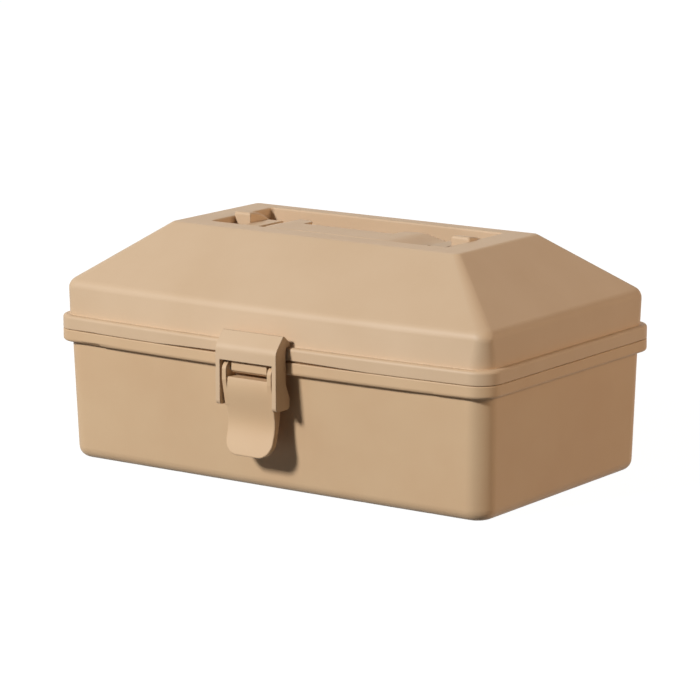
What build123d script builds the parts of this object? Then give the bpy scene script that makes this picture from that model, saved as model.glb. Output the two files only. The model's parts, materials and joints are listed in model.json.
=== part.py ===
from build123d import *
import os
from math import hypot
# Sewing machine attachment box: a moulded polypropylene tub with a hipped lid, a carry handle that
# folds flush into the lid, an over-centre latch at the front, two pinned hinges at the back, and a
# lift-out tray with loose dividers inside.
# Millimetres. +Z is up, the latch faces -Y, and the origin is the centre of the base outline.

# ---- outline of the rim, seen from above ----
rim_width = 270.0
rim_depth = 159.6
rim_corner_radius = 12.0
wall_corner_radius = 11.0
front_bow = 4.8  # how far the front of the rim bellies out at mid length

# ---- levels ----
parting_height = 69.6
parting_gap = 0.24
parting_relief = 1.1  # extra gap under the lid's front edge, beside the latch
parting_relief_half_length = 68.0
tub_flange_height = 6.6
lid_flange_height = 7.4
skirt_height = 17.0
roof_height = 30.8

# ---- tub ----
tub_wall = 2.2
tub_floor = 2.4
base_inset = 5.4
rim_inset = 3.6
base_edge_radius = 6.0
flange_skin = 1.9
flange_edge_radius = 1.7
parting_edge_radius = 0.4
lip_height = 3.0
lip_thickness = 1.4
lip_clearance = 0.4

# ---- lid ----
lid_wall = 2.2
skirt_inset = 2.9
skirt_top_inset = 3.6
skirt_top_corner_radius = 6.5
lid_top_width = 178.8
lid_top_depth = 76.0
lid_top_corner_radius = 3.2
shoulder_radius = 6.0
lid_top_edge_radius = 3.0

# ---- recess in the lid top, and the hubs that carry the handle ----
recess_width = 146.8
recess_depth = 54.0
recess_centre_y = 2.0
recess_drop = 17.0
recess_corner_radius = 2.5
recess_edge_radius = 0.8
hub_width = 9.9
hub_front_reach = 9.2
hub_rise = 2.2
hub_length = 18.0
hub_crown_drop = 5.7
hub_edge_radius = 1.4
hub_outer_edge_radius = 1.8

# ---- carry handle ----
handle_axis_offset = 30.2  # from the front of the recess to the pivot
handle_axis_drop = 9.6
handle_hub_clearance = 0.5
handle_floor_clearance = 0.2
handle_arm_width = 9.4
handle_front_clearance = 0.6
grip_depth = 20.0
grip_thickness = 12.6
grip_top_drop = 0.2
grip_edge_radius = 1.8
pad_thickness = 5.0
pad_reach = 8.8
pad_slant = 6.0  # how much further back the pad reaches at the arm than at its inner end
pad_width = 23.9
pad_corner_radius = 3.0
arm_slot_width = 1.4
arm_slot_depth = 2.2  # how far the slot beside each arm cuts into the back of the grip
arm_slot_end_radius = 1.5
arm_land_rise = 0.5  # the arm's top above the end of the grip
arm_land_reach = 3.0  # how far that land starts in front of the slot
handle_end_dip = 3.5
handle_dip_run = 18.0
handle_core_reach = 44.0  # half of the length that the grip's pockets take up
handle_heel_radius = 1.5
handle_wall = 2.4
handle_core_depth = 8.6
handle_core_count = 7
handle_rib = 1.8

# ---- handle pins ----
handle_pin_radius = 2.5
handle_pin_seat = 8.0
handle_pin_setback = 0.2
handle_pin_chamfer = 0.4

# ---- latch: a frame that hooks the lid's flange, and a lever that the frame hangs on ----
latch_width = 37.5
latch_depth = 9.4  # how far the latch stands out from the flanges
latch_cheek = 2.55
latch_side_gap = 0.95
latch_skin = 2.6
hood_crease_drop = 1.2  # below the top of the lid's flange
hood_crease_radius = 6.0
hood_rise = 6.0  # above the top of the lid's flange
hood_ceiling_drop = 2.8
hood_flat_depth = 1.1
hood_back_setback = 2.0  # from the flange's face forward to the back of the hood's flat
hood_cavity_setback = 3.3
hook_reach = 2.5
hook_clearance = 0.3
hook_face_clearance = 0.2
hook_back_drop = 3.7
cheek_back_gap = 1.0
cheek_back_drop = 1.6
cheek_foot_flare = 2.0
cheek_foot_drop = 5.4  # from the link's axis down to the foot of each cheek
cheek_foot_radius = 2.2
window_drop = 0.8  # from the parting level down to the top of the window
lever_axis_standoff = 3.9
lever_axis_drop = 5.5
link_axis_standoff = 3.6
link_spacing = 13.2
link_boss_radius = 3.5
lever_top_drop = 4.0
lever_length = 39.6
lever_corner_radius = 8.0
lever_skin = 2.4
lever_web = 2.2
lever_tip_rim = 4.0
lever_core_radius = 1.2
lever_ear_radius = 3.4
lever_ear_width = 2.5
lever_ear_root = 1.5
lever_rail_front = 0.6  # from the latch's front back to the rails that run down from the ears
lever_rail_length = 19.0
lever_rail_end = 3.3  # from the latch's front back to the foot of each rail, just inside the face
lever_rail_radius = 4.0  # at the top of the front of each rail
lever_tip_taper = 0.9  # how much narrower each side of the lever is at its tip
lever_tip_thickness = 4.0
lever_edge_radius = 0.6
lever_rim_reach = 5.2  # how far behind the latch's front the lever's rounded rim lies
# the block of the tub between the lever's ears
lever_block_gap = 1.8
lever_block_radius = 2.2
lever_block_reach = 2.6  # in front of the lever's axis
lever_block_low = 0.8  # below the lever's axis
lever_block_high = 4.3  # above the lever's axis
lever_block_edge_radius = 1.5
lever_pin_seat = 4.0
# the lever's face: (distance behind the latch's front, share of the way down from its top edge)
lever_face = [(1.8, 0.0), (1.4, 0.08), (2.8, 0.32), (4.5, 0.6), (2.2, 0.84), (0.2, 1.0)]
# the lever's back: (distance in front of the link boss's back, share of the way down)
lever_back = [(2.2, 0.74), (0.4, 0.5), (0.0, 0.25), (1.4, 0.0)]
latch_pin_radius = 1.3
latch_pin_chamfer = 0.25
link_pin_lever_depth = 4.6
link_pin_cheek_depth = 1.7

# ---- hinges ----
hinge_end_distance = 53.0  # from the end of the rim to the middle of a hinge
hinge_axis_offset = 4.5
hinge_radius = 3.9
hinge_pin_radius = 1.5
hinge_pin_chamfer = 0.3
tub_knuckle_length = 9.0
lid_knuckle_length = 15.0
knuckle_gap = 0.4
hinge_arm_height = 4.6
lid_open_angle = 105.0
stop_clearance = 0.2

# ---- tray and dividers ----
tray_rim_drop = 7.6  # from the parting level down to the rim of the tray
tray_height = 20.0
tray_clearance = 1.9
tray_wall = 1.6
tray_corner_radius = 9.0
tray_edge_radius = 2.0
tray_draft = 1.2
tray_spine_width = 2.0
tray_spine_drop = 1.0
finger_bar_length = 104.0
finger_bar_rise = 12.0
finger_bar_corner_radius = 8.0
finger_slot_width = 84.0
finger_slot_height = 16.0
finger_slot_drop = 5.0
divider_thickness = 1.6
divider_slot_rib = 1.4
divider_slot_reach = 2.4
divider_clearance = 0.2
divider_spacing = 124.0
tray_post_width = 3.0
tray_post_reach = 4.4
tray_post_spacing_x = 170.0
tray_post_spacing_y = 84.0

# ---- fits, and the length by which a cutter runs past what it cuts ----
running_clearance = 0.06
seat_clearance = 0.02
pin_end_clearance = 0.1
overcut = 1.0

# ---- derived levels and planes ----
tub_top = parting_height - parting_gap / 2
lid_bottom = parting_height + parting_gap / 2
lid_flange_top = parting_height + lid_flange_height
shoulder_height = lid_flange_top + skirt_height
lid_top = shoulder_height + roof_height
flange_face_y = -(rim_depth / 2 + front_bow)
hinge_axis_y = rim_depth / 2 + hinge_axis_offset
hinge_station = rim_width / 2 - hinge_end_distance
recess_floor = lid_top - recess_drop
recess_front_y = recess_centre_y - recess_depth / 2
handle_axis_y = recess_front_y + handle_axis_offset
handle_axis_z = lid_top - handle_axis_drop
hub_front_y = handle_axis_y - hub_front_reach
hub_inner_x = recess_width / 2 - hub_width
arm_outer_x = hub_inner_x - handle_hub_clearance
arm_inner_x = arm_outer_x - handle_arm_width
pad_outer_x = arm_inner_x - arm_slot_width
handle_front_y = recess_front_y + handle_front_clearance
grip_back_y = handle_front_y + grip_depth
grip_top = lid_top - grip_top_drop
grip_low = grip_top - grip_thickness
grip_end_top = grip_top - handle_end_dip
arm_top = grip_end_top + arm_land_rise
slot_front_y = grip_back_y - arm_slot_depth
cheek_inner_x = latch_width / 2 - latch_cheek
lever_half_width = cheek_inner_x - latch_side_gap
latch_front_y = flange_face_y - latch_depth
cheek_back_y = flange_face_y - cheek_back_gap
hook_low = lid_flange_top + hook_clearance
hood_top = lid_flange_top + hood_rise
crease_height = lid_flange_top - hood_crease_drop
window_top = parting_height - window_drop
lever_axis_y = flange_face_y - lever_axis_standoff
lever_axis_z = parting_height - lever_axis_drop
link_axis_y = flange_face_y - link_axis_standoff
link_axis_z = lever_axis_z - link_spacing
latch_boss_radius = link_axis_y - latch_front_y
lever_top = lever_axis_z - lever_top_drop
lever_tip = lever_top - lever_length
tray_top = parting_height - tray_rim_drop
tray_floor = tray_top - tray_height


# ---------------------------------------------------------------- outlines
def rounded_outline(half_x, half_y, corner, bow=0.0):
    """A rectangle with round corners whose front side is an arc that bellies out by bow."""
    front_left, front_right = (-half_x, -half_y), (half_x, -half_y)
    back_right, back_left = (half_x, half_y), (-half_x, half_y)
    if bow > 0:
        front = ThreePointArc(front_left, (0, -half_y - bow), front_right)
    else:
        front = Line(front_left, front_right)
    around = Polyline(front_right, back_right, back_left, front_left)
    face = make_face(Curve() + [front, around])
    return fillet(face.vertices(), corner)


def rim_outline(inset, corner, bow=front_bow):
    return rounded_outline(rim_width / 2 - inset, rim_depth / 2 - inset, corner, bow)


def prism(face, low, high):
    return extrude(Pos(0, 0, low) * face, high - low)


def tier(low_face, low, high_face, high):
    """A ruled solid between two outlines at two levels."""
    return loft([Pos(0, 0, low) * low_face, Pos(0, 0, high) * high_face], ruled=True)


def side_prism(points, x_low, x_high):
    """Extrudes a closed outline of (y, z) points along X."""
    face = make_face(Plane.YZ * Polyline(*points, close=True))
    return extrude(Pos(x_low, 0, 0) * face, x_high - x_low, dir=(1, 0, 0))


def rod(y, z, radius, x_low, x_high):
    """A cylinder along X."""
    face = Plane.YZ * (Pos(y, z) * Circle(radius))
    return extrude(Pos(x_low, 0, 0) * face, x_high - x_low, dir=(1, 0, 0))


def block(x_low, x_high, y_low, y_high, z_low, z_high):
    """A box between two corners, which may come in either order."""
    size = (abs(x_high - x_low), abs(y_high - y_low), abs(z_high - z_low))
    centre = ((x_low + x_high) / 2, (y_low + y_high) / 2, (z_low + z_high) / 2)
    return Pos(*centre) * Box(*size)


def lowest_edges(shape):
    return shape.edges().group_by(Axis.Z)[0]


def highest_edges(shape):
    return shape.edges().group_by(Axis.Z)[-1]


def both_sides(shape):
    return shape + mirror(shape, Plane.YZ)


def front_and_back(shape):
    return shape + mirror(shape, Plane.XZ)


def side_pin(side, y, z, radius, x_low, x_high, edge):
    """A plain pin along X with chamfered ends, on the right or, mirrored, on the left."""
    pin = rod(y, z, radius, x_low, x_high)
    pin = chamfer(pin.edges().filter_by(GeomType.CIRCLE), edge)
    return pin if side > 0 else mirror(pin, Plane.YZ)


# ---------------------------------------------------------------- tub
def wall_inset(z):
    return base_inset + (rim_inset - base_inset) * z / parting_height


def wall_bow(z):
    return front_bow * z / parting_height


def tub_outline(z, wall=0.0):
    return rim_outline(wall_inset(z) + wall, wall_corner_radius - wall, wall_bow(z))


def tub_outer():
    outer = tier(tub_outline(0.0), 0.0, tub_outline(tub_top), tub_top)
    return fillet(lowest_edges(outer), base_edge_radius)


def tub_cavity():
    high = tub_top + lip_height
    cavity = tier(tub_outline(tub_floor, tub_wall), tub_floor, tub_outline(high, tub_wall), high)
    return fillet(lowest_edges(cavity), base_edge_radius - tub_wall)


def tub_flange():
    low = parting_height - tub_flange_height
    flange = prism(rim_outline(0.0, rim_corner_radius), low, tub_top)
    flange = fillet(lowest_edges(flange), flange_edge_radius)
    flange = fillet(highest_edges(flange), parting_edge_radius)
    lip_inset = flange_skin + lip_clearance
    lip_top = tub_top + lip_height
    lip = prism(rim_outline(lip_inset, rim_corner_radius - lip_inset), tub_top - overcut, lip_top)
    lip_inside = lip_inset + lip_thickness
    bore = prism(rim_outline(lip_inside, rim_corner_radius - lip_inside), tub_top, lip_top)
    flange += lip - bore
    skin_inside = rim_outline(flange_skin, rim_corner_radius - flange_skin)
    groove = skin_inside - rim_outline(rim_inset, wall_corner_radius)
    return flange - prism(groove, low, tub_top - flange_skin)


def lever_block():
    """The right half of the block on the tub's flange that the lever hangs on."""
    reach = lever_half_width - lever_ear_width - lever_block_gap
    front_y, root_y = lever_axis_y - lever_block_reach, flange_face_y + flange_skin / 2
    low, high = lever_axis_z - lever_block_low, lever_axis_z + lever_block_high
    body = block(0, reach, front_y, root_y, low, high)
    top_edge = highest_edges(body).filter_by(Axis.X).sort_by(Axis.Y)[0]
    body = fillet(top_edge, lever_block_edge_radius)
    barrel = rod(lever_axis_y, lever_axis_z, lever_block_radius, 0, reach)
    body += barrel & block(0, reach, front_y, root_y, low - lever_block_radius, high)
    bore = latch_pin_radius + seat_clearance
    return body - rod(lever_axis_y, lever_axis_z, bore, reach - lever_pin_seat, reach + overcut)


def knuckle(length, centre_x, arm_low, arm_high):
    """A hinge barrel along X with the arm that joins it to the flange's back face."""
    x_low, x_high = centre_x - length / 2, centre_x + length / 2
    barrel = rod(hinge_axis_y, parting_height, hinge_radius, x_low, x_high)
    root_y = rim_depth / 2 - flange_skin / 2
    arm = block(x_low, x_high, root_y, hinge_axis_y, arm_low, arm_high)
    return barrel + arm


def tub_knuckles():
    """The right hinge's two tub barrels, on either side of the lid's barrel."""
    offset = (lid_knuckle_length + tub_knuckle_length) / 2 + knuckle_gap
    low = tub_top - hinge_arm_height
    inner = knuckle(tub_knuckle_length, hinge_station - offset, low, tub_top)
    outer = knuckle(tub_knuckle_length, hinge_station + offset, low, tub_top)
    bore = hinge_pin_radius + seat_clearance
    return inner + outer - rod(hinge_axis_y, parting_height, bore, 0, rim_width / 2)


def tray_posts():
    """Upright ribs on the inside of the walls; the tray's floor rests on their tops."""
    half = tray_post_width / 2
    wall_face = wall_inset(tray_floor) + tub_wall
    end_x = rim_width / 2 - wall_face - tray_post_reach
    side_y = rim_depth / 2 - wall_face - tray_post_reach
    x, y = tray_post_spacing_x / 2, tray_post_spacing_y / 2
    at_end = block(end_x, rim_width / 2, y - half, y + half, tub_floor / 2, tray_floor)
    at_side = block(x - half, x + half, side_y, rim_depth, tub_floor / 2, tray_floor)
    return front_and_back(both_sides(at_end + at_side))


def tub_body():
    outer = tub_outer()
    tub = outer + tub_flange() - tub_cavity()
    tub += tray_posts() & outer
    return tub + both_sides(lever_block() + tub_knuckles())


# ---------------------------------------------------------------- lid
def roof_inner_inset(run, wall):
    """How far the inside of a sloping wall of this run stands in from the outside, at the ceiling."""
    slope = hypot(run, roof_height)
    return (wall - wall * run / slope) * slope / roof_height


def lid_bow(z):
    return front_bow * (lid_top - z) / (lid_top - lid_flange_top)


def lid_outer():
    low = lid_flange_top - lid_wall / 2
    skirt_low = rim_outline(skirt_inset, wall_corner_radius)
    skirt_high = rim_outline(skirt_top_inset, skirt_top_corner_radius, lid_bow(shoulder_height))
    top = rounded_outline(lid_top_width / 2, lid_top_depth / 2, lid_top_corner_radius)
    body = tier(skirt_low, low, skirt_high, shoulder_height)
    body += tier(skirt_high, shoulder_height, top, lid_top)
    body = fillet(highest_edges(body), lid_top_edge_radius)
    shoulder = body.edges().filter_by(lambda e: abs(e.center().Z - shoulder_height) < 0.01)
    body = fillet(shoulder, shoulder_radius)
    flange = prism(rim_outline(0.0, rim_corner_radius), lid_bottom, lid_flange_top)
    flange = fillet(highest_edges(flange), flange_edge_radius)
    flange = fillet(lowest_edges(flange), parting_edge_radius)
    return body + flange


def lid_inner():
    """The hollow under the lid: the flange's channel, the skirt and the roof, one wall thickness in."""
    skin_inside = rim_outline(flange_skin, rim_corner_radius - flange_skin)
    channel = prism(skin_inside, lid_bottom - overcut, lid_flange_top - flange_skin)
    run_x = rim_width / 2 - skirt_top_inset - lid_top_width / 2
    run_y = rim_depth / 2 - skirt_top_inset - lid_top_depth / 2
    ceiling = lid_top - lid_wall
    fold = shoulder_height - lid_wall * (hypot(run_x, roof_height) - roof_height) / run_x
    skirt_low = rim_outline(skirt_inset + lid_wall, wall_corner_radius - lid_wall)
    skirt_high = rim_outline(
        skirt_top_inset + lid_wall, skirt_top_corner_radius - lid_wall, lid_bow(shoulder_height)
    )
    top = rounded_outline(
        lid_top_width / 2 - roof_inner_inset(run_x, lid_wall),
        lid_top_depth / 2 - roof_inner_inset(run_y, lid_wall),
        lid_top_corner_radius - lid_wall / 2,
    )
    skirt = tier(skirt_low, lid_bottom - overcut, skirt_high, fold)
    return channel + skirt + tier(skirt_high, fold, top, ceiling)


def recess_outline(grow=0.0):
    half_x, half_y = recess_width / 2 + grow, recess_depth / 2 + grow
    return Pos(0, recess_centre_y) * rounded_outline(half_x, half_y, recess_corner_radius + grow)


def hub():
    """The raised block at the recess's right end: flat front, top falling away in an arc to the back."""
    crown, back_top = lid_top + hub_rise, lid_top + hub_rise - hub_crown_drop
    back_y = hub_front_y + hub_length
    side = Plane.YZ * make_face(
        Curve()
        + [
            Line((back_y, recess_floor), (hub_front_y, recess_floor)),
            Line((hub_front_y, recess_floor), (hub_front_y, crown)),
            TangentArc((hub_front_y, crown), (back_y, back_top), tangent=(1, 0)),
            Line((back_y, back_top), (back_y, recess_floor)),
        ]
    )
    shape = extrude(Pos(hub_inner_x, 0, 0) * side, hub_width + overcut, dir=(1, 0, 0))
    top_edges = shape.edges().filter_by(lambda e: e.center().Z > back_top).sort_by(Axis.X)
    outer_edge = top_edges[-1]
    shape = fillet(outer_edge, hub_outer_edge_radius)
    top_edges = shape.edges().filter_by(lambda e: e.center().Z > back_top)
    top_edges = top_edges.filter_by(lambda e: e.center().X < recess_width / 2)
    shape = fillet(top_edges, hub_edge_radius)
    bore, seat_end = handle_pin_radius + seat_clearance, hub_inner_x + handle_pin_seat
    return shape - rod(handle_axis_y, handle_axis_z, bore, hub_inner_x - overcut, seat_end)


def lid_knuckle():
    """The right hinge's lid barrel; its square heel meets the tub's flange when the lid is fully open."""
    barrel = knuckle(lid_knuckle_length, hinge_station, lid_bottom, lid_bottom + hinge_arm_height)
    reach = hinge_axis_offset - stop_clearance
    heel = Box(lid_knuckle_length, reach, hinge_radius)
    heel = Pos(hinge_station, -reach / 2, -hinge_radius / 2) * heel
    barrel += Pos(0, hinge_axis_y, parting_height) * Rot(lid_open_angle, 0, 0) * heel
    bore = hinge_pin_radius + running_clearance
    return barrel - rod(hinge_axis_y, parting_height, bore, 0, rim_width / 2)


def parting_relief_cut():
    """A long shallow arc out of the lid's lower front edge: the gap opens towards the latch."""
    reach, low = parting_relief_half_length, lid_bottom - overcut
    arch = make_face(
        Curve()
        + [
            ThreePointArc((-reach, lid_bottom), (0, lid_bottom + parting_relief), (reach, lid_bottom)),
            Line((reach, lid_bottom), (reach, low)),
            Line((reach, low), (-reach, low)),
            Line((-reach, low), (-reach, lid_bottom)),
        ]
    )
    start = Pos(0, flange_face_y - overcut, 0) * (Plane.XZ * arch)
    return extrude(start, 2 * (front_bow + overcut), dir=(0, 1, 0))


def recess_mouth_edges(lid):
    top_edges = lid.edges().filter_by(lambda e: abs(e.center().Z - lid_top) < 0.01)
    in_length = top_edges.filter_by(lambda e: abs(e.center().X) < recess_width / 2 + 0.1)
    return in_length.filter_by(lambda e: abs(e.center().Y - recess_centre_y) < recess_depth / 2 + 0.1)


def lid_shell():
    well = prism(recess_outline(), recess_floor, lid_top + overcut)
    well_wall = prism(recess_outline(lid_wall), recess_floor - lid_wall, lid_top - lid_wall / 2)
    outer = lid_outer()
    lid = outer - lid_inner() + (well_wall & outer) - well
    lid = fillet(recess_mouth_edges(lid), recess_edge_radius)
    return lid + both_sides(hub() + lid_knuckle()) - parting_relief_cut()


# ---------------------------------------------------------------- carry handle
def handle_front_profile():
    """Half of the handle from the front: flat in the middle, the top dipping in an S towards the end."""
    dip_start, dip_end = arm_inner_x - handle_dip_run, arm_inner_x
    dip_mid = (dip_start + dip_end) / 2
    half = [
        Line((0, grip_low), (arm_outer_x, grip_low)),
        Line((arm_outer_x, grip_low), (arm_outer_x, grip_end_top)),
        Line((arm_outer_x, grip_end_top), (dip_end, grip_end_top)),
        Spline(
            (dip_end, grip_end_top),
            (dip_mid, (grip_end_top + grip_top) / 2),
            (dip_start, grip_top),
            tangents=[(-1, 0), (-1, 0)],
        ),
        Line((dip_start, grip_top), (0, grip_top)),
        Line((0, grip_top), (0, grip_low)),
    ]
    return make_face(Curve() + half)


def pad_outline():
    """The pad behind the right end of the grip, from above."""
    inner_x, back_y = pad_outer_x - pad_width, grip_back_y + pad_reach
    corners = [
        (inner_x, back_y),
        (pad_outer_x, back_y + pad_slant),
        (pad_outer_x, handle_front_y),
        (inner_x, handle_front_y),
    ]
    face = make_face(Polyline(*corners, close=True))
    return fillet(face.vertices().group_by(Axis.Y)[1:], pad_corner_radius)


def grip_bar():
    """Half of the grip with its pad: thick at the front, thin behind, under the dipping top."""
    section = block(0, arm_outer_x, handle_front_y, grip_back_y, grip_low, grip_top)
    section += prism(pad_outline(), grip_top - pad_thickness, grip_top)
    front = Pos(0, handle_front_y - overcut, 0) * (Plane.XZ * handle_front_profile())
    bar = section & extrude(front, recess_depth, dir=(0, 1, 0))
    low, high = grip_low - overcut, grip_top + overcut
    slot = block(pad_outer_x, arm_inner_x, slot_front_y, grip_back_y + overcut, low, high)
    slot_end = Pos((pad_outer_x + arm_inner_x) / 2, slot_front_y) * Circle(arm_slot_end_radius)
    return bar - slot - prism(slot_end, low, high)


def grip_cores():
    """Half of the row of pockets that core the grip from below, with a rib between each two."""
    pitch = (2 * handle_core_reach + handle_rib) / handle_core_count
    front_y, back_y = handle_front_y + handle_wall, grip_back_y - handle_wall
    cores = None
    for index in range(handle_core_count // 2, handle_core_count):
        centre = pitch * (index + 0.5 - handle_core_count / 2)
        x_low = max(centre - (pitch - handle_rib) / 2, 0.0)
        x_high = centre + (pitch - handle_rib) / 2
        dip = handle_end_dip / 2 if x_high > arm_inner_x - handle_dip_run else 0.0
        high = grip_low + handle_core_depth - dip
        core = block(x_low, x_high, front_y, back_y, grip_low - overcut, high)
        cores = core if cores is None else cores + core
    return cores


def handle_arm():
    """One arm: its heel is square above the pivot and round below, so it turns clear, then stops."""
    heel_reach = handle_axis_z - recess_floor - handle_floor_clearance
    heel_y = handle_axis_y + heel_reach
    land_front_y = slot_front_y - arm_land_reach
    arm = block(arm_inner_x, arm_outer_x, handle_front_y, handle_axis_y, grip_low, grip_end_top)
    arm += block(arm_inner_x, arm_outer_x, land_front_y, handle_axis_y, grip_end_top - overcut, arm_top)
    heel = block(arm_inner_x, arm_outer_x, handle_axis_y, heel_y, handle_axis_z, arm_top)
    heel_edge = highest_edges(heel).filter_by(Axis.X).sort_by(Axis.Y)[-1]
    eye = rod(handle_axis_y, handle_axis_z, heel_reach, arm_inner_x, arm_outer_x)
    under = block(arm_inner_x, arm_outer_x, handle_axis_y - heel_reach, heel_y, recess_floor, arm_top)
    return arm + fillet(heel_edge, handle_heel_radius) + (eye & under)


def carry_handle():
    handle = both_sides(grip_bar() - grip_cores() + handle_arm())
    front_edges = handle.edges().filter_by(lambda e: abs(e.center().Y - handle_front_y) < 0.01)
    front_edges = front_edges.filter_by(lambda e: e.center().Z > grip_end_top - 0.1)
    handle = fillet(front_edges, grip_edge_radius)
    bore = handle_pin_radius + running_clearance
    return handle - rod(handle_axis_y, handle_axis_z, bore, -recess_width / 2, recess_width / 2)


def handle_pin(side):
    """A plain steel pin, pushed through the handle's arm into the blind hole of the lid's hub."""
    x_low = arm_inner_x + handle_pin_setback
    x_high = hub_inner_x + handle_pin_seat - pin_end_clearance
    radius, edge = handle_pin_radius, handle_pin_chamfer
    return side_pin(side, handle_axis_y, handle_axis_z, radius, x_low, x_high, edge)


# ---------------------------------------------------------------- latch
def hood_slope(y):
    """The height of the hood's outer slope at this y."""
    run = latch_depth - hood_back_setback - hood_flat_depth
    return crease_height + (hood_top - crease_height) * (y - latch_front_y) / run


def frame_profile():
    """The latch frame from the side, in (y, z): front, sloping hood, hooked lip, cheek, blunt foot."""
    hood_back = flange_face_y - hood_back_setback
    hook_back = flange_face_y + hook_reach
    foot_back_y, foot_low = link_axis_y + latch_boss_radius, link_axis_z - cheek_foot_drop
    points = [
        (latch_front_y, foot_low),
        (latch_front_y, crease_height),
        (hood_back - hood_flat_depth, hood_top),
        (hood_back, hood_top),
        (hook_back, hood_top - hook_back_drop),
        (hook_back, hook_low),
        (flange_face_y - hook_face_clearance, hook_low),
        (cheek_back_y, hook_low - cheek_back_drop),
        (cheek_back_y, link_axis_z + latch_boss_radius + cheek_foot_flare),
        (foot_back_y, link_axis_z),
        (foot_back_y, foot_low),
    ]
    face = make_face(Polyline(*points, close=True))
    return fillet(face.vertices().group_by(Axis.Y)[0], cheek_foot_radius)


def latch_frame():
    half = latch_width / 2
    solid = extrude(Pos(-half, 0, 0) * (Plane.YZ * frame_profile()), latch_width, dir=(1, 0, 0))
    crease = solid.edges().filter_by(Axis.X).filter_by(lambda e: abs(e.center().Z - crease_height) < 0.01)
    solid = fillet(crease, hood_crease_radius)
    low = link_axis_z - 2 * latch_boss_radius
    inner_front = latch_front_y + latch_skin
    cavity_back = flange_face_y - hood_cavity_setback
    hollow = side_prism(
        [
            (inner_front, low),
            (inner_front, hood_slope(inner_front) - hood_ceiling_drop),
            (cavity_back, hood_slope(cavity_back) - hood_ceiling_drop),
            (flange_face_y - hook_face_clearance, hook_low),
            (flange_face_y + latch_depth, hook_low),
            (flange_face_y + latch_depth, low),
        ],
        -cheek_inner_x,
        cheek_inner_x,
    )
    front_y = latch_front_y - overcut
    window = block(-cheek_inner_x, cheek_inner_x, front_y, inner_front + overcut, low, window_top)
    bore = latch_pin_radius + seat_clearance
    seat = rod(link_axis_y, link_axis_z, bore, 0, cheek_inner_x + link_pin_cheek_depth)
    return solid - hollow - window - both_sides(seat)


def lever_height(share):
    return lever_top - share * lever_length


def lever_face_curve():
    return Spline(*[(latch_front_y + depth, lever_height(share)) for depth, share in lever_face])


def lever_section():
    """The lever from the side, in (y, z)."""
    boss_back = link_axis_y + link_boss_radius
    face = lever_face_curve()
    tip_back = (latch_front_y + lever_face[-1][0] + lever_tip_thickness, lever_tip)
    back = Spline(tip_back, *[(boss_back - gap, lever_height(share)) for gap, share in lever_back])
    return make_face(Curve() + [face, Line(face @ 1, back @ 0), back, Line(back @ 1, face @ 0)])


def lever_core_section():
    """All that lies more than a skin's thickness behind the lever's face, in (y, z)."""
    face = Pos(lever_skin, 0) * lever_face_curve()
    far_y = flange_face_y
    around = [Line(face @ 1, (far_y, lever_tip)), Line((far_y, lever_tip), (far_y, lever_top))]
    return make_face(Curve() + [face, *around, Line((far_y, lever_top), face @ 0)])


def lever_core():
    """The right half's pocket in the back of the paddle, beside the rib up its middle."""
    half = lever_half_width
    behind = extrude(Plane.YZ * lever_core_section(), half, dir=(1, 0, 0))
    low = lever_tip + lever_tip_rim
    high = link_axis_z - link_boss_radius - lever_web
    cell = block(lever_web / 2, half - lever_web, latch_front_y, flange_face_y, low, high)
    return fillet(cell.edges().filter_by(Axis.Y), lever_core_radius) & behind


def lever_ear():
    """The right ear, which turns on the lever pin, with the rail that runs down from it."""
    low_x = lever_half_width - lever_ear_width
    eye = rod(lever_axis_y, lever_axis_z, lever_ear_radius, low_x, lever_half_width)
    back_y = lever_axis_y + lever_ear_radius
    root = lever_top - lever_ear_root
    neck = block(low_x, lever_half_width, lever_axis_y, back_y, root, lever_axis_z)
    rail_y, rail_low = latch_front_y + lever_rail_front, lever_axis_z - lever_rail_length
    rail_top = lever_axis_z + lever_ear_radius
    corners = [
        (lever_axis_y, rail_top),
        (rail_y, rail_top),
        (rail_y, root),
        (latch_front_y + lever_rail_end, rail_low),
        (lever_axis_y, rail_low),
    ]
    rail = side_prism(corners, low_x, lever_half_width)
    rail_corner = highest_edges(rail).filter_by(Axis.X).sort_by(Axis.Y)[0]
    return eye + neck + fillet(rail_corner, lever_rail_radius)


def lever_plan():
    """The lever from the front: square at the top, narrower and round at the tip."""
    half, tip_half = lever_half_width, lever_half_width - lever_tip_taper
    corners = [(-half, lever_top), (half, lever_top), (tip_half, lever_tip), (-tip_half, lever_tip)]
    face = make_face(Polyline(*corners, close=True))
    return fillet(face.vertices().group_by(Axis.Y)[0], lever_corner_radius)


def latch_lever():
    half = lever_half_width
    body = extrude(Pos(-half, 0, 0) * (Plane.YZ * lever_section()), 2 * half, dir=(1, 0, 0))
    front = Pos(0, latch_front_y - overcut, 0) * (Plane.XZ * lever_plan())
    body = body & extrude(front, 2 * latch_depth, dir=(0, 1, 0))
    rim = body.edges().filter_by(lambda e: e.center().Y < latch_front_y + lever_rim_reach)
    body = fillet(rim.filter_by(lambda e: e.center().Z < lever_top - overcut), lever_edge_radius)
    body -= both_sides(lever_core())
    lever = body + rod(link_axis_y, link_axis_z, link_boss_radius, -half, half) + both_sides(lever_ear())
    bore = latch_pin_radius + running_clearance
    lever -= rod(lever_axis_y, lever_axis_z, bore, -half - overcut, half + overcut)
    hole_low = half - link_pin_lever_depth - pin_end_clearance
    return lever - both_sides(rod(link_axis_y, link_axis_z, bore, hole_low, half + overcut))


def lever_pin(side):
    """A short pin through one ear of the lever into one end of the tub's block."""
    x_high = lever_half_width - pin_end_clearance
    seat_end = lever_half_width - lever_ear_width - lever_block_gap - lever_pin_seat
    x_low = seat_end + pin_end_clearance
    return side_pin(side, lever_axis_y, lever_axis_z, latch_pin_radius, x_low, x_high, latch_pin_chamfer)


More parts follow.
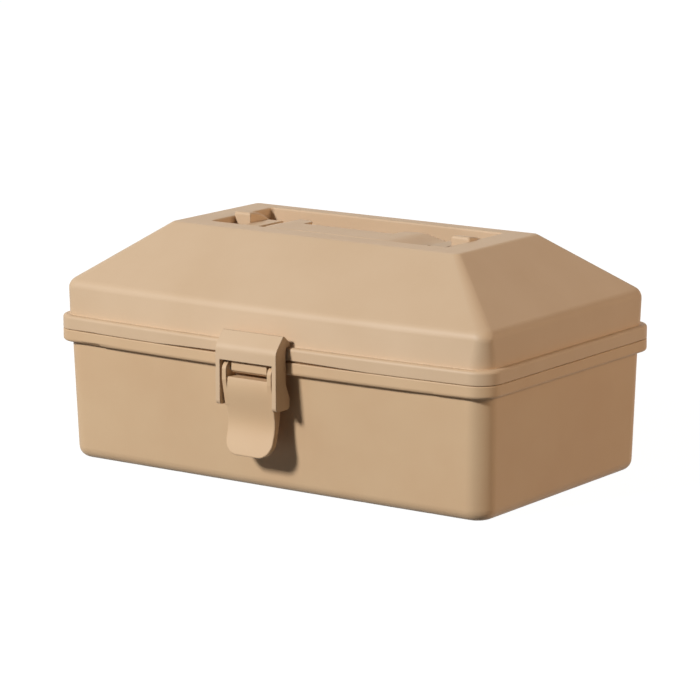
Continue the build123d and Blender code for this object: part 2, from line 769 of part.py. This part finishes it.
def link_pin(side):
    """A short pin between one cheek of the latch frame and the lever."""
    x_high = cheek_inner_x + link_pin_cheek_depth - pin_end_clearance
    x_low = lever_half_width - link_pin_lever_depth
    return side_pin(side, link_axis_y, link_axis_z, latch_pin_radius, x_low, x_high, latch_pin_chamfer)


# ---------------------------------------------------------------- hinge pins
def hinge_pin(side):
    """The steel pin through one hinge's three barrels."""
    reach = lid_knuckle_length / 2 + knuckle_gap + tub_knuckle_length
    x_low, x_high = hinge_station - reach, hinge_station + reach
    radius, edge = hinge_pin_radius, hinge_pin_chamfer
    return side_pin(side, hinge_axis_y, parting_height, radius, x_low, x_high, edge)


# ---------------------------------------------------------------- tray
tray_half_x = rim_width / 2 - wall_inset(tray_floor) - tub_wall - tray_clearance
tray_half_y = rim_depth / 2 - wall_inset(tray_floor) - tub_wall - tray_clearance
spine_half = tray_spine_width / 2
rib_low, rib_high = tray_floor + tray_wall / 2, tray_top - tray_spine_drop


def tray_tier(low, high, grow):
    """The tray's leaning walls between two levels, moved outwards by grow."""

    def outline(z):
        move = grow - tray_draft * (tray_top - z) / tray_height
        return rounded_outline(tray_half_x + move, tray_half_y + move, tray_corner_radius + grow)

    return tier(outline(low), low, outline(high), high)


def divider_slots():
    """The ribs on the tray's outer wall and on its spine that guide the divider at the back right."""
    gap = divider_thickness / 2 + divider_clearance
    wall_face = tray_half_y - tray_wall - tray_draft
    ribs = None
    for lean in (-1, 1):
        x_near = divider_spacing / 2 + lean * gap
        x_far = x_near + lean * divider_slot_rib
        at_wall = block(x_near, x_far, wall_face - divider_slot_reach, tray_half_y, rib_low, rib_high)
        at_spine = block(x_near, x_far, 0, spine_half + divider_slot_reach, rib_low, rib_high)
        ribs = at_wall + at_spine if ribs is None else ribs + at_wall + at_spine
    return ribs


def finger_bar():
    """The plate in the middle of the tray that rises from the spine."""
    height = tray_top + finger_bar_rise - rib_low
    plate = Pos(0, rib_low + height / 2) * Rectangle(finger_bar_length, height)
    plate = fillet(plate.vertices().group_by(Axis.Y)[-1], finger_bar_corner_radius)
    return extrude(Pos(0, -spine_half, 0) * (Plane.XZ * plate), tray_spine_width, dir=(0, 1, 0))


def finger_slot():
    """The oblong slot to lift the tray by."""
    centre = tray_top + finger_bar_rise - finger_slot_drop - finger_slot_height / 2
    slot = Pos(0, centre) * SlotOverall(finger_slot_width, finger_slot_height)
    start = Pos(0, -tray_spine_width, 0) * (Plane.XZ * slot)
    return extrude(start, 2 * tray_spine_width, dir=(0, 1, 0))


def inner_tray():
    outer = fillet(lowest_edges(tray_tier(tray_floor, tray_top, 0.0)), tray_edge_radius)
    tray = outer - tray_tier(tray_floor + tray_wall, tray_top + overcut, -tray_wall)
    end_x = tray_half_x - tray_wall / 2 - tray_draft
    spine = block(-end_x, end_x, -spine_half, spine_half, rib_low, rib_high)
    ribs = front_and_back(both_sides(divider_slots()))
    return tray + (spine + finger_bar() - finger_slot()) + (ribs & outer)


def tray_divider(side_x, side_y):
    """A loose plate that drops between the slot ribs of one quarter of the tray."""
    low, high = tray_floor + tray_wall + divider_clearance, tray_top - tray_spine_drop
    inner = spine_half + divider_clearance
    wall_face = tray_half_y - tray_wall - divider_clearance
    lean_low = tray_draft * (tray_top - low) / tray_height
    lean_high = tray_draft * (tray_top - high) / tray_height
    corners = [(inner, low), (wall_face - lean_low, low), (wall_face - lean_high, high), (inner, high)]
    x_low = side_x * divider_spacing / 2 - divider_thickness / 2
    plate = side_prism(corners, x_low, x_low + divider_thickness)
    return plate if side_y > 0 else mirror(plate, Plane.XZ)


# ---------------------------------------------------------------- write the parts
parts = {
    "tub_body": tub_body(),
    "lid_shell": lid_shell(),
    "carry_handle": carry_handle(),
    "handle_pin_left": handle_pin(-1),
    "handle_pin_right": handle_pin(1),
    "latch_frame": latch_frame(),
    "latch_lever": latch_lever(),
    "lever_pin_left": lever_pin(-1),
    "lever_pin_right": lever_pin(1),
    "link_pin_left": link_pin(-1),
    "link_pin_right": link_pin(1),
    "hinge_pin_left": hinge_pin(-1),
    "hinge_pin_right": hinge_pin(1),
    "inner_tray": inner_tray(),
    "tray_divider_front_left": tray_divider(-1, -1),
    "tray_divider_front_right": tray_divider(1, -1),
    "tray_divider_back_left": tray_divider(-1, 1),
    "tray_divider_back_right": tray_divider(1, 1),
}

os.makedirs("parts", exist_ok=True)
for name, shape in parts.items():
    export_step(shape, f"parts/{name}.step")
    box = shape.bounding_box()
    print(name, round(shape.volume), tuple(round(v, 2) for v in (*box.min, *box.max)))
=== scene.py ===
import bpy
import json
import math
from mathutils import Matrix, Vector


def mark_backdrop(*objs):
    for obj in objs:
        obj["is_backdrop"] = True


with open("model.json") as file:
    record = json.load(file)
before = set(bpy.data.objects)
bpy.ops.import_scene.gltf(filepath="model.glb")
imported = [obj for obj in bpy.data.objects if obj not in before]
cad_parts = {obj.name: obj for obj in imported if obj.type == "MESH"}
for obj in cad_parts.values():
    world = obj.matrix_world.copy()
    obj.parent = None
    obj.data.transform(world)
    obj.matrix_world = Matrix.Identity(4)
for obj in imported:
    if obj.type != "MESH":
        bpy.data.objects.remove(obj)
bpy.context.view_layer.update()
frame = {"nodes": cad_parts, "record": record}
nodes = frame["nodes"]
print("frame loaded,", len(nodes), "nodes")


def linear(hexColour):  # sRGB hex to a linear RGBA colour
    channels = [int(hexColour[i:i + 2], 16) / 255 for i in (1, 3, 5)]
    return [c / 12.92 if c <= 0.04045 else ((c + 0.055) / 1.055) ** 2.4 for c in channels] + [1.0]


def addNode(tree, kind, settings=None, **inputs):  # one node with its settings, values and links
    node = tree.nodes.new(kind)
    for name, value in (settings or {}).items():
        setattr(node, name, value)
    for name, value in inputs.items():
        socket = node.inputs[int(name[1:])] if name[1:].isdigit() else node.inputs[name.replace("_", " ")]
        if isinstance(value, bpy.types.NodeSocket):
            tree.links.new(value, socket)
        else:
            socket.default_value = value
    return node


def newTree(name):
    material = bpy.data.materials.new(name)
    material.use_nodes = True
    material.node_tree.nodes.clear()
    return material, material.node_tree


def perMetre(millimetres):  # noise scale whose features are this wide
    return 1000.0 / millimetres


# Polypropylene from a spark-eroded mould: an even, dull skin with a fine grain, a soft wide gleam,
# faint clouds where the melt flowed, and a paler line where edges have been rubbed.

tubFinish = {
    "name": "mouldedPolypropyleneSand",
    "colour": "#d3b38d",
    "cloudColour": "#cfad87",
    "wornColour": "#dfc29e",
    "roughness": 0.54,
    "roughnessSpread": 0.03,
    "grainMm": 1.1,  # the real grit is 0.2 mm, drawn coarser so that it shows
    "grainDepthMm": 0.018,
    "cloudMm": 38.0,
    "cloudRange": (0.35, 0.70),
    "waveMm": 26.0,  # shrinkage makes a flat wall very slightly uneven
    "waveDepthMm": 0.05,
    "edgeMm": 0.9,  # how far a rubbed edge reaches
    "softEdgeMm": 0.7,  # how far an edge's shading is rounded
    "wear": 0.45,
}

# the lid, its handle and the hood are painted a shade paler and less saturated than the tub: painted sheen
# and top light, which the upper parts catch more than the tub
lidFinishWithPaintedSheen = dict(
    tubFinish, name="mouldedPolypropylenePaintedSheen",
    colour="#d3b695", cloudColour="#cfb18f", wornColour="#dfc6a7",
)

trayFinish = {
    "name": "mouldedPolypropyleneNatural",
    "colour": "#e2d3bb",
    "cloudColour": "#dccbb0",
    "wornColour": "#efe6d6",
    "roughness": 0.46,
    "roughnessSpread": 0.03,
    "grainMm": 1.4,
    "grainDepthMm": 0.010,
    "cloudMm": 30.0,
    "cloudRange": (0.35, 0.70),
    "waveMm": 20.0,
    "waveDepthMm": 0.04,
    "edgeMm": 0.6,
    "softEdgeMm": 0.5,
    "wear": 0.35,
}

# what all the mouldings share
moulding = {
    "ior": 1.49,
    "patchMm": 9.0,  # patches that are handled more than others
    "patchRange": (0.42, 0.68),
    "edgeTurn": (0.995, 0.90),  # cosine at which wear begins, and at which it is full
}


def mouldedPolypropylene(finish):
    material, tree = newTree(finish["name"])
    place = addNode(tree, "ShaderNodeTexCoord").outputs["Object"]

    thin, thick = finish["cloudRange"]
    cloud = addNode(tree, "ShaderNodeTexNoise", Vector=place, Scale=perMetre(finish["cloudMm"]), Detail=3.0)
    cloudShare = addNode(
        tree, "ShaderNodeMapRange", Value=cloud.outputs["Fac"], From_Min=thin, From_Max=thick
    )
    body = addNode(
        tree, "ShaderNodeMix", {"data_type": "RGBA"},
        _0=cloudShare.outputs["Result"], _6=linear(finish["colour"]), _7=linear(finish["cloudColour"]),
    )

    # the tool's edges are broken by a small radius, so no corner shades as a knife edge
    softened = addNode(tree, "ShaderNodeBevel", {"samples": 6}, Radius=finish["softEdgeMm"] / 1000)

    # rubbed edges: where a wider rounded normal leaves the true one
    rounded = addNode(tree, "ShaderNodeBevel", {"samples": 4}, Radius=finish["edgeMm"] / 1000)
    unrounded = addNode(tree, "ShaderNodeNewGeometry")
    agree = addNode(
        tree, "ShaderNodeVectorMath", {"operation": "DOT_PRODUCT"},
        _0=rounded.outputs[0], _1=unrounded.outputs["Normal"],
    )
    begins, full = moulding["edgeTurn"]
    edge = addNode(tree, "ShaderNodeMapRange", Value=agree.outputs["Value"], From_Min=begins, From_Max=full)
    seldom, often = moulding["patchRange"]
    patch = addNode(tree, "ShaderNodeTexNoise", Vector=place, Scale=perMetre(moulding["patchMm"]), Detail=4.0)
    patchShare = addNode(
        tree, "ShaderNodeMapRange", Value=patch.outputs["Fac"], From_Min=seldom, From_Max=often
    )
    worn = addNode(
        tree, "ShaderNodeMath", {"operation": "MULTIPLY"},
        _0=edge.outputs["Result"], _1=patchShare.outputs["Result"],
    )
    wornShare = addNode(
        tree, "ShaderNodeMath", {"operation": "MULTIPLY"}, _0=worn.outputs[0], _1=finish["wear"]
    )
    colour = addNode(
        tree, "ShaderNodeMix", {"data_type": "RGBA"},
        _0=wornShare.outputs[0], _6=body.outputs[2], _7=linear(finish["wornColour"]),
    )

    grain = addNode(tree, "ShaderNodeTexNoise", Vector=place, Scale=perMetre(finish["grainMm"]), Detail=2.0)
    wave = addNode(tree, "ShaderNodeTexNoise", Vector=place, Scale=perMetre(finish["waveMm"]), Detail=1.0)
    waveBump = addNode(
        tree, "ShaderNodeBump", Height=wave.outputs["Fac"], Strength=1.0,
        Distance=finish["waveDepthMm"] / 1000, Normal=softened.outputs[0],
    )
    grainBump = addNode(
        tree, "ShaderNodeBump", Height=grain.outputs["Fac"], Strength=1.0,
        Distance=finish["grainDepthMm"] / 1000, Normal=waveBump.outputs[0],
    )
    low = finish["roughness"] - finish["roughnessSpread"]
    high = finish["roughness"] + finish["roughnessSpread"]
    polish = addNode(tree, "ShaderNodeMapRange", Value=patch.outputs["Fac"], To_Min=low, To_Max=high)
    shader = addNode(
        tree, "ShaderNodeBsdfPrincipled", IOR=moulding["ior"],
        Base_Color=colour.outputs[2], Roughness=polish.outputs["Result"], Normal=grainBump.outputs[0],
    )
    addNode(tree, "ShaderNodeOutputMaterial", Surface=shader.outputs[0])
    return material


# Cold-drawn steel: bright, with fine lines along the wire and a slightly dull bloom.

wireFinish = {
    "name": "drawnSteel",
    "colour": "#b9b6b0",
    "bloomColour": "#8f8b84",
    "roughnessRange": (0.22, 0.42),
    "lineMm": 0.25,
    "lineDepthMm": 0.01,
    "lineStretch": 0.03,  # the lines run along X, so the pattern is stretched there
    "bloomMm": 3.0,
    "bloomRange": (0.50, 0.75),
}


def drawnSteel(finish):
    material, tree = newTree(finish["name"])
    place = addNode(tree, "ShaderNodeTexCoord").outputs["Object"]
    drawn = addNode(tree, "ShaderNodeMapping", Vector=place, Scale=(finish["lineStretch"], 1.0, 1.0))
    lines = addNode(
        tree, "ShaderNodeTexNoise", Vector=drawn.outputs[0], Scale=perMetre(finish["lineMm"]), Detail=2.0
    )
    clear, dull = finish["bloomRange"]
    bloom = addNode(tree, "ShaderNodeTexNoise", Vector=place, Scale=perMetre(finish["bloomMm"]), Detail=3.0)
    bloomShare = addNode(
        tree, "ShaderNodeMapRange", Value=bloom.outputs["Fac"], From_Min=clear, From_Max=dull
    )
    colour = addNode(
        tree, "ShaderNodeMix", {"data_type": "RGBA"},
        _0=bloomShare.outputs["Result"], _6=linear(finish["colour"]), _7=linear(finish["bloomColour"]),
    )
    bump = addNode(
        tree, "ShaderNodeBump", Height=lines.outputs["Fac"], Strength=1.0,
        Distance=finish["lineDepthMm"] / 1000,
    )
    smooth, rough = finish["roughnessRange"]
    polish = addNode(tree, "ShaderNodeMapRange", Value=bloom.outputs["Fac"], To_Min=smooth, To_Max=rough)
    shader = addNode(
        tree, "ShaderNodeBsdfPrincipled", Metallic=1.0,
        Base_Color=colour.outputs[2], Roughness=polish.outputs["Result"], Normal=bump.outputs[0],
    )
    addNode(tree, "ShaderNodeOutputMaterial", Surface=shader.outputs[0])
    return material


finishes = {
    "beige_polypropylene": mouldedPolypropylene(tubFinish),
    "tray_polypropylene": mouldedPolypropylene(trayFinish),
    "pin_steel": drawnSteel(wireFinish),
}
# painted sheen: the paler finish goes on the lid, the handle and the hood
paintedSheenSand = mouldedPolypropylene(lidFinishWithPaintedSheen)
paintedSheenPieces = ("lid_shell", "carry_handle", "latch_frame")
for part in frame["record"]["subparts"]:
    node = nodes[part["node"]]
    chosen = paintedSheenSand if part["node"] in paintedSheenPieces else finishes[part["material_slot"]]
    node.data.materials.clear()
    node.data.materials.append(chosen)
print("finishes on every CAD node")


studio = {
    "floorColour": "#5c5c5c",
    "floorSize": 6.0,
    "nearGlow": 0.98,  # only the camera and reflections see the glow, so the paper looks white
    "farGlow": 1.0,
    "glowStart": 0.15,
    "glowReach": 0.5,
    "worldStrength": 0.025,
    "aimHeight": 0.06,  # the lamps point at about half the box's height
}


def studioFloor():
    material, tree = newTree("paperSweep")
    path = addNode(tree, "ShaderNodeLightPath")
    seen = addNode(
        tree, "ShaderNodeMath", {"operation": "MAXIMUM"},
        _0=path.outputs["Is Camera Ray"], _1=path.outputs["Is Glossy Ray"],
    )
    paper = addNode(tree, "ShaderNodeBsdfDiffuse", Color=linear(studio["floorColour"]))
    place = addNode(tree, "ShaderNodeTexCoord").outputs["Object"]
    away = addNode(tree, "ShaderNodeVectorMath", {"operation": "LENGTH"}, _0=place)
    level = addNode(
        tree, "ShaderNodeMapRange", {"interpolation_type": "SMOOTHSTEP"}, Value=away.outputs["Value"],
        From_Min=studio["glowStart"], From_Max=studio["glowReach"],
        To_Min=studio["nearGlow"], To_Max=studio["farGlow"],
    )
    lift = addNode(
        tree, "ShaderNodeMath", {"operation": "MULTIPLY"}, _0=seen.outputs[0], _1=level.outputs["Result"]
    )
    glow = addNode(tree, "ShaderNodeEmission", Strength=lift.outputs[0])
    both = addNode(tree, "ShaderNodeAddShader", _0=paper.outputs[0], _1=glow.outputs[0])
    addNode(tree, "ShaderNodeOutputMaterial", Surface=both.outputs[0])
    half = studio["floorSize"] / 2
    mesh = bpy.data.meshes.new("studioFloor")
    corners = [(-half, -half, 0), (half, -half, 0), (half, half, 0), (-half, half, 0)]
    mesh.from_pydata(corners, [], [(0, 1, 2, 3)])
    mesh.materials.append(material)
    floor = bpy.data.objects.new("studioFloor", mesh)
    bpy.context.scene.collection.objects.link(floor)
    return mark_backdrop(floor)


def studioWorld():  # the camera sees white all round, while the light from there stays weak
    world = bpy.data.worlds.new("studioWorld")
    world.use_nodes = True
    tree = world.node_tree
    tree.nodes.clear()
    path = addNode(tree, "ShaderNodeLightPath")
    direct = addNode(
        tree, "ShaderNodeMath", {"operation": "MAXIMUM"},
        _0=path.outputs["Is Camera Ray"], _1=path.outputs["Is Glossy Ray"],
    )
    seen = addNode(
        tree, "ShaderNodeMath", {"operation": "MAXIMUM"},
        _0=direct.outputs[0], _1=path.outputs["Is Transmission Ray"],
    )
    strength = addNode(
        tree, "ShaderNodeMapRange", Value=seen.outputs[0], To_Min=studio["worldStrength"], To_Max=1.0
    )
    sky = addNode(tree, "ShaderNodeBackground", Strength=strength.outputs["Result"])
    addNode(tree, "ShaderNodeOutputWorld", Surface=sky.outputs[0])
    bpy.context.scene.world = world


# Turn and rise are in degrees as seen from the object: turn 0 is the front and grows to the right.

keyLamp = {"turn": -17.0, "rise": 28.5, "distance": 3.0, "size": 0.40, "watts": 86.0, "colour": "#ffffff"}
rearLamp = {"turn": -132.0, "rise": 36.0, "distance": 2.5, "size": 1.6, "watts": 8.0, "colour": "#fff2e0"}
sideLamp = {"turn": 112.0, "rise": 18.0, "distance": 2.2, "size": 1.0, "watts": 21.0, "colour": "#ffe0bf"}


def outwards(turnDegrees, riseDegrees):  # the direction from the object towards a lamp or the camera
    turn, rise = math.radians(turnDegrees), math.radians(riseDegrees)
    return Vector((math.sin(turn) * math.cos(rise), -math.cos(turn) * math.cos(rise), math.sin(rise)))


def studioLamp(name, lamp):
    away = outwards(lamp["turn"], lamp["rise"])
    light = bpy.data.lights.new(name, "AREA")
    light.size = lamp["size"]
    light.energy = lamp["watts"]
    light.color = linear(lamp["colour"])[:3]
    holder = bpy.data.objects.new(name, light)
    holder.location = Vector((0, 0, studio["aimHeight"])) + away * lamp["distance"]
    holder.rotation_euler = away.to_track_quat("Z", "Y").to_euler()
    bpy.context.scene.collection.objects.link(holder)


view = {
    "place": (1.02003, -1.45904, 0.41668), "turn": 35.013, "rise": 11.332,
    "lens": 179.07, "sensorWidth": 36.0,
}


def studioCamera():
    back = outwards(view["turn"], view["rise"])
    camera = bpy.data.cameras.new("camera")
    camera.lens = view["lens"]
    camera.sensor_width = view["sensorWidth"]
    holder = bpy.data.objects.new("camera", camera)
    holder.location = view["place"]
    holder.rotation_euler = back.to_track_quat("Z", "Y").to_euler()
    bpy.context.scene.collection.objects.link(holder)
    bpy.context.scene.camera = holder


studioFloor()
studioWorld()
studioLamp("keyLamp", keyLamp)
studioLamp("rearLamp", rearLamp)
studioLamp("sideLamp", sideLamp)
studioCamera()
bpy.context.scene.view_settings.view_transform = "Standard"
print("studio ready")
